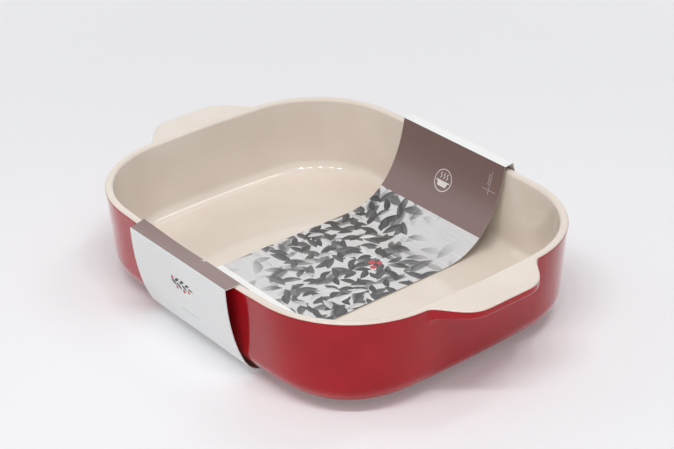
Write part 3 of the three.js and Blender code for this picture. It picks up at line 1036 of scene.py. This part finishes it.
def start_card(name, roughness, shine):
    material, start = start_material(name)
    place = object_place(start)
    grain = noise(start, place, *CARD_GRAIN)
    dress(material, {
        "Roughness": roughness,
        "Specular IOR Level": shine,
        "Normal": relief(start, grain, CARD_GRAIN_DEPTH, CARD_GRAIN_STRENGTH),
    })
    return material, start, place


def print_side(start, tone, edge):
    """The print on its side of the card, an edge colour where the card is cut, and white on the back."""
    side = start.make("ShaderNodeAttribute", {"attribute_name": "printed"}, None, "Fac")
    return mix_colour(side > PRINT_MARK, mix_colour(side > EDGE_MARK, CARD_WHITE, edge), tone)


def white_card():
    material, start, place = start_card("white_card", WHITE_ROUGHNESS, WHITE_SHINE)
    drift = ramp_up(noise(start, place, CARD_DRIFT_SCALE), *CARD_DRIFT_LIMITS)
    tone = mix_colour(drift, CARD_DIMMER, CARD_WHITE)
    sheet = sheet_place(start)
    across, along = split(sheet)[:2]
    sprig = either(bar(across, along, *SPRIG_STEM), *(leaf_at(sheet, *row) for row in SPRIG_LEAVES))
    tone = mix_colour(sprig, tone, CHARCOAL)
    tone = mix_colour(either(*(dot_at(sheet, *row) for row in SPRIG_BERRIES)), tone, BERRY_RED)
    tone = mix_colour(bar(across, along, *HAIRLINE), tone, HAIRLINE_GREY)
    dress(material, {"Base Color": print_side(start, tone, CARD_WHITE)})
    return material


white = white_card()
print("white card nodes:", len(white.node_tree.nodes))

# %% [markdown]
# ## Leaves by the hundred
# The picture inside is a black and white print of foliage. Drawing each leaf would take a list of hundreds.
# A grid does it instead: every cell rolls its own dice for the turn and the tone of one leaf, and a few grids
# of different sizes lie over each other, pale and soft ones below, dark and sharp ones on top.

# %% One layer of leaves
LEAF_SPREAD = 2.4  # radians between the most different leaves of a layer
LEAF_SHAPE = (0.5, 0.2)  # half length and half width, in cells
SEED_SHIFT = (0.37, 0.61, 1.0)  # cells that a grid is moved for each step of its seed
RIB_FADE = (0.006, 0.022)  # cells from the middle line
HALVES_FADE = (-0.02, 0.02)  # cells across the middle line, between the leaf's two halves
TONE_SHARE, HALVES_SHARE, RIB_SHARE = 0.55, 0.3, 0.15


def leaf_layer(sheet, cell, seed, lean, soft):
    """Cover and shade of a grid with one leaf in each cell of so many millimetres, and the cell's chance."""
    shift = tuple(seed * step for step in SEED_SHIFT)
    grid = vector_math("MULTIPLY_ADD", sheet, (1 / cell, 1 / cell, 0.0), shift)
    corner = vector_math("FLOOR", grid)
    dice = sheet.make("ShaderNodeTexWhiteNoise", None, {"Vector": corner}, "Color")
    turn, tone, chance = split(dice)
    middle = vector_math("ADD", corner, (0.5, 0.5, 0.0))
    inputs = {"Vector": vector_math("SUBTRACT", grid, middle), "Angle": lean + LEAF_SPREAD * turn}
    spun = sheet.make("ShaderNodeVectorRotate", {"rotation_type": "Z_AXIS"}, inputs)
    cover, side = leaf(spun, *LEAF_SHAPE, soft)
    rib = 1 - ramp_up(abs(side), *RIB_FADE)
    shade = TONE_SHARE * tone + HALVES_SHARE * ramp_up(side, *HALVES_FADE) + RIB_SHARE * rib
    return cover, shade, chance


print("most different turns, degrees:", round(math.degrees(LEAF_SPREAD)))

# %% [markdown]
# ## The picture
# Foliage runs across the sheet as a garland, dark in its middle and thinning out to pale linen, with three
# red berries as its only colour. The garland's line is a slow wave, and each layer of leaves reaches a
# different distance from it.

# %% Garland on linen
PICTURE_TOP_Y = 0.0889
PICTURE_END_Y = -0.056
LINEN_TONES = grey(202), grey(220)
LINEN_THREADS = (0.05, 2.0, 0.0)  # threads to a millimetre, across the sheet and along it
THREAD_DETAIL = 3.0
GARLAND_MIDDLE = 70  # mm below the picture's start
WAVE_HEIGHT, WAVE_RUN = 16, 24
GARLAND_RISE = 24  # mm more at the right edge than at the left
GARLAND_EDGES = (-52.0, 52.0)
GARLAND_LAYERS = (  # cell, seed, lean, softness, reach from and to, chance, dark, light
    (27.0, 3.0, 0.4, 0.10, (66, 104), 0.05, 76, 158),
    (21.0, 11.0, -0.9, 0.07, (58, 90), 0.05, 40, 128),
    (17.0, 5.0, 0.2, 0.04, (52, 82), 0.05, 18, 102),
    (14.0, 8.0, -1.6, 0.03, (44, 72), 0.08, 8, 82),
    (12.0, 14.0, 0.9, 0.02, (34, 62), 0.12, 6, 62),
    (13.0, 21.0, -0.3, 0.02, (24, 54), 0.72, 170, 236),
)
PICTURE_BERRIES = ((13.0, 121.0, 2.5), (18.4, 124.4, 2.3), (16.8, 117.6, 2.1))


def length_at(path, y):
    """How far along the card the path first passes a depth in the dish."""
    return float(np.interp(-y, -path[:, 0], lengths_along(path)))


picture_start = 1000 * length_at(inner_path, PICTURE_TOP_Y)
picture_end = 1000 * length_at(inner_path, PICTURE_END_Y)


def garland(start, sheet):
    across, along = split(sheet)[:2]
    threads = noise(start, vector_math("MULTIPLY", sheet, LINEN_THREADS), 1.0, THREAD_DETAIL)
    tone = mix_colour(ramp_up(threads, *DRIFT_LIMITS), *LINEN_TONES)
    wave = WAVE_HEIGHT * (across / WAVE_RUN).math("SINE") + GARLAND_RISE * ramp_up(across, *GARLAND_EDGES)
    away = abs(along - (picture_start + GARLAND_MIDDLE) - wave)
    for cell, seed, lean, soft, reach, odds, dark, light in GARLAND_LAYERS:
        cover, shade, chance = leaf_layer(sheet, cell, seed, lean, soft)
        cover = cover * (1 - ramp_up(away, *reach)) * (chance > odds)
        tone = mix_colour(cover, tone, mix_colour(shade, grey(dark), grey(light)))
    return mix_colour(either(*(dot_at(sheet, *row) for row in PICTURE_BERRIES)), tone, BERRY_RED)


print("picture from", round(picture_start, 1), "to", round(picture_end, 1), "mm along the card")

# %% [markdown]
# ## The brown field
# Between the crease and the picture the sheet is brown, with two small marks in white: a ring with a baking
# dish under three waves of steam, and a fine measuring line near one edge. Each is drawn about its own middle.

# %% Marks on the brown
MARK_X, MARK_ALONG, MARK_RADIUS, MARK_LINE = -0.75, 29.4, 8.3, 0.6
BOWL_HEIGHT = (1.0, 4.6)
BOWL_SIDE = (5.4, 5.7)
BOWL_SLANT = 0.35
BOWL_LIP = ((-6.4, 6.4), (0.4, 1.3))
STEAM_AT = (-3.0, 0.0, 3.0)
STEAM_HEIGHT = (-5.6, -0.9)
STEAM_HALF = 0.35
STEAM_SWAY, STEAM_WAVES = 0.5, 1.9
RULER_X, RULER_ALONG = 41.6, 20.8
RULER_INK = 0.7
RULER_LEVEL = ((-6.0, 6.5), (-0.15, 0.15))
RULER_UPRIGHT = ((-0.15, 0.15), (-13.8, 3.5))
TICK_FIELD = ((-2.6, -1.0), (-11.8, -3.3))
TICK_STEP = 1.6
TICK_PART = (0.3, 0.6, 0.1)  # of a step: from, to and softness


def dish_mark(sheet):
    across, along = split(sheet)[:2]
    x, y = across - MARK_X, along - MARK_ALONG
    disc, hole = (dot_at(sheet, MARK_X, MARK_ALONG, MARK_RADIUS - line) for line in (0.0, MARK_LINE))
    bowl = band(y, *BOWL_HEIGHT) * (1 - ramp_up(abs(x) + BOWL_SLANT * y, *BOWL_SIDE))
    sway = STEAM_SWAY * (STEAM_WAVES * y).math("SINE")
    steam = [bar(x - sway, y, (at - STEAM_HALF, at + STEAM_HALF), STEAM_HEIGHT) for at in STEAM_AT]
    return either(disc - hole, bowl, bar(x, y, *BOWL_LIP), *steam)


def measuring_line(sheet):
    across, along = split(sheet)[:2]
    x, y = across - RULER_X, along - RULER_ALONG
    ticks = band((along / TICK_STEP).math("FRACT"), *TICK_PART) * bar(x, y, *TICK_FIELD)
    return RULER_INK * either(bar(x, y, *RULER_LEVEL), bar(x, y, *RULER_UPRIGHT), ticks)


print("ring:", 2 * MARK_RADIUS, "mm across")

# %% [markdown]
# ## Printed card
# The inner part of the sheet has it all: brown, picture and a white margin at its free end. The print is on
# one side only, and the cut edges are painted a darker grey brown, which is painted shade. The flap over the
# front rim is plain brown painted paler, a painted sheen, and at the lock its print has torn off with the top
# fibres.

# %% Inner sheet and flap
BROWN = colour(117, 91, 87)
MARK_WHITE = colour(228, 222, 221)
# paler brown of the front flap: a painted sheen, for the light that the flap catches
SHEEN_PAINTED_BROWN = colour(136, 113, 109)
PRINT_ROUGHNESS, PRINT_SHINE = 0.3, 0.7
TEAR_SIDES = (8.0, 15.0, 0.6)  # mm: from, to and softness
TEAR_END = (-115.3, -115.1)  # mm, over which the torn part begins
TEAR_RAGGED = 0.0012
TEAR_FIBRES = (900.0, 3.0)  # scale and detail


def printed_card():
    material, start = start_card("printed_card", PRINT_ROUGHNESS, PRINT_SHINE)[:2]
    sheet = sheet_place(start)
    along = split(sheet)[1]
    tone = mix_colour(either(dish_mark(sheet), measuring_line(sheet)), BROWN, MARK_WHITE)
    tone = mix_colour(along > picture_start, tone, garland(start, sheet))
    tone = mix_colour(along > picture_end, tone, CARD_WHITE)
    # the cut edges get a darker grey brown, which is painted shade
    dress(material, {"Base Color": print_side(start, tone, SHADE_PAINTED_EDGE)})
    return material


def brown_card():
    material, start, place = start_card("brown_card", PRINT_ROUGHNESS, PRINT_SHINE)
    x, y = split(place)[:2]
    ragged = y + TEAR_RAGGED * noise(start, place, *TEAR_FIBRES)
    torn = band(1000 * x, *TEAR_SIDES) * ramp_up(1000 * ragged, *TEAR_END)
    # the flap's paler brown is a painted sheen
    tone = mix_colour(torn, SHEEN_PAINTED_BROWN, CARD_WHITE)
    dress(material, {"Base Color": print_side(start, tone, SHADE_PAINTED_EDGE)})
    return material


print_card, brown = printed_card(), brown_card()
print("printed card nodes:", len(print_card.node_tree.nodes))

# %% [markdown]
# ## The sheet in two ribbons
# The part round the outside stays in one piece, so the card bends at the foot instead of breaking: the fold
# of the front panel is spread over the bend. The part inside the dish is a ribbon of its own, hinged on the
# crease at the rear rim.

# %% Outer wrap and inner card
SLEEVE_WIDTH = 0.1035
BEAD_RADIUS = 0.00023


def make_ribbon(name, path, card):
    mesh = bpy.data.meshes.new(name + "_path")
    mesh.from_pydata([(0.0, y, z) for y, z in path], [(i, i + 1) for i in range(len(path) - 1)], [])
    line = bpy.data.objects.new(name + "_path", mesh)
    bpy.context.scene.collection.objects.link(line)
    modifier = line.modifiers.new("ribbon", "NODES")
    modifier.node_group = ribbon
    values = {"Width": SLEEVE_WIDTH, "Thickness": CARD_THICKNESS, "Bead Radius": BEAD_RADIUS, "Card": card}
    for socket in ribbon.interface.items_tree:
        if socket.name in values:
            modifier[socket.identifier] = values[socket.name]
    shaped = line.evaluated_get(bpy.context.evaluated_depsgraph_get())
    plain = bpy.data.meshes.new_from_object(shaped)
    bpy.data.objects.remove(line)
    return add_piece(name, plain)


wrap = make_ribbon("sleeve_wrap", wrap_path, white)
inner_card = make_ribbon("inner_card", inner_path, print_card)
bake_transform(wrap)
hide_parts("sleeve_base_panel", "sleeve_front_panel", "sleeve_rear_panel", "sleeve_rear_rim_strip")
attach(inner_card, "sleeve_inner")
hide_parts("sleeve_inner_panel")
print("ribbon faces:", len(wrap.data.polygons), len(inner_card.data.polygons))

# %% [markdown]
# ## The front strip
# The last flap of the sheet lies over the front rim. Its free edge has a step, part of the lock that holds
# the loop closed, and on one side it lifts a little, as card does when it has been folded and let go. A flat
# outline can't lift, so the flap is a grid: stations along the rim, each with its own width and lift.

# %% Grid of a flap that lifts
STRIP_WIDTH = 0.0122
LOCK_STEP_AT = 0.012
LOCK_STEP_RUN = 0.004
LOCK_STEP_DEPTH = 0.0015
STRIP_LIFT = 0.0028
LIFT_EASE = 1.4
FOLD_GAP = 0.0003  # between the crease's line and the flap, so that the flap can turn
STRIP_COLUMNS, STRIP_ROWS = 60, 8


def strip_grid():
    """Middle of the flap as rows from crease to edge, by stations along the rim, by x, y and z."""
    steps = (LOCK_STEP_AT, LOCK_STEP_AT + LOCK_STEP_RUN)
    columns = np.linspace(-SLEEVE_WIDTH / 2, SLEEVE_WIDTH / 2, STRIP_COLUMNS)
    stations = np.sort(np.concatenate((columns, steps)))
    width = STRIP_WIDTH - np.interp(stations, steps, (LOCK_STEP_DEPTH, 0.0))
    far = np.clip((LOCK_STEP_AT - stations) / (LOCK_STEP_AT + SLEEVE_WIDTH / 2), 0, 1)
    across = np.linspace(0, 1, STRIP_ROWS + 1)[:, None]
    y = front_crease.y + FOLD_GAP + across * (width - FOLD_GAP)
    z = front_crease.z + across**LIFT_EASE * STRIP_LIFT * far
    return np.stack((np.broadcast_to(stations, y.shape), y, z), axis=2)


flap = strip_grid()
print("flap's grid:", flap.shape[:2], "lifted by up to", round(1000 * float(np.ptp(flap[..., 2])), 1), "mm")

# %% [markdown]
# ## From a grid to card
# A grid has no thickness. A Solidify modifier could add it, but the finish has to know the printed side from
# the back, so the plate is built face by face: the grid above, the grid below, and a wall round the edge.

# %% Flap of card
def thick_grid(name, grid, thickness, material):
    """A closed plate on both sides of a grid. Its top faces are marked as the printed side."""
    rows, columns = grid.shape[:2]
    lift = np.array((0.0, 0.0, thickness / 2))
    points = np.concatenate(((grid + lift).reshape(-1, 3), (grid - lift).reshape(-1, 3)))
    under = rows * columns
    top = [
        (i * columns + j, i * columns + j + 1, (i + 1) * columns + j + 1, (i + 1) * columns + j)
        for i in range(rows - 1)
        for j in range(columns - 1)
    ]
    bottom = [tuple(under + p for p in face[::-1]) for face in top]
    round_edge = [
        *range(columns),
        *range(2 * columns - 1, under, columns),
        *range(under - 2, under - columns - 1, -1),
        *range(under - 2 * columns, 0, -columns),
    ]
    edges = list(zip(round_edge, round_edge[1:] + round_edge[:1]))
    sides = [(q, p, under + p, under + q) for p, q in edges]
    mesh = bpy.data.meshes.new(name)
    mesh.from_pydata(points.tolist(), [], top + bottom + sides)
    printed = mesh.attributes.new("printed", "FLOAT", "FACE")
    for index in range(len(top)):
        printed.data[index].value = 1.0
    return add_piece(name, mesh, material)


strip = thick_grid("front_strip", flap, CARD_THICKNESS, brown)
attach(strip, "sleeve_front_flap")
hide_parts("sleeve_front_rim_strip")
print("strip faces:", len(strip.data.polygons))
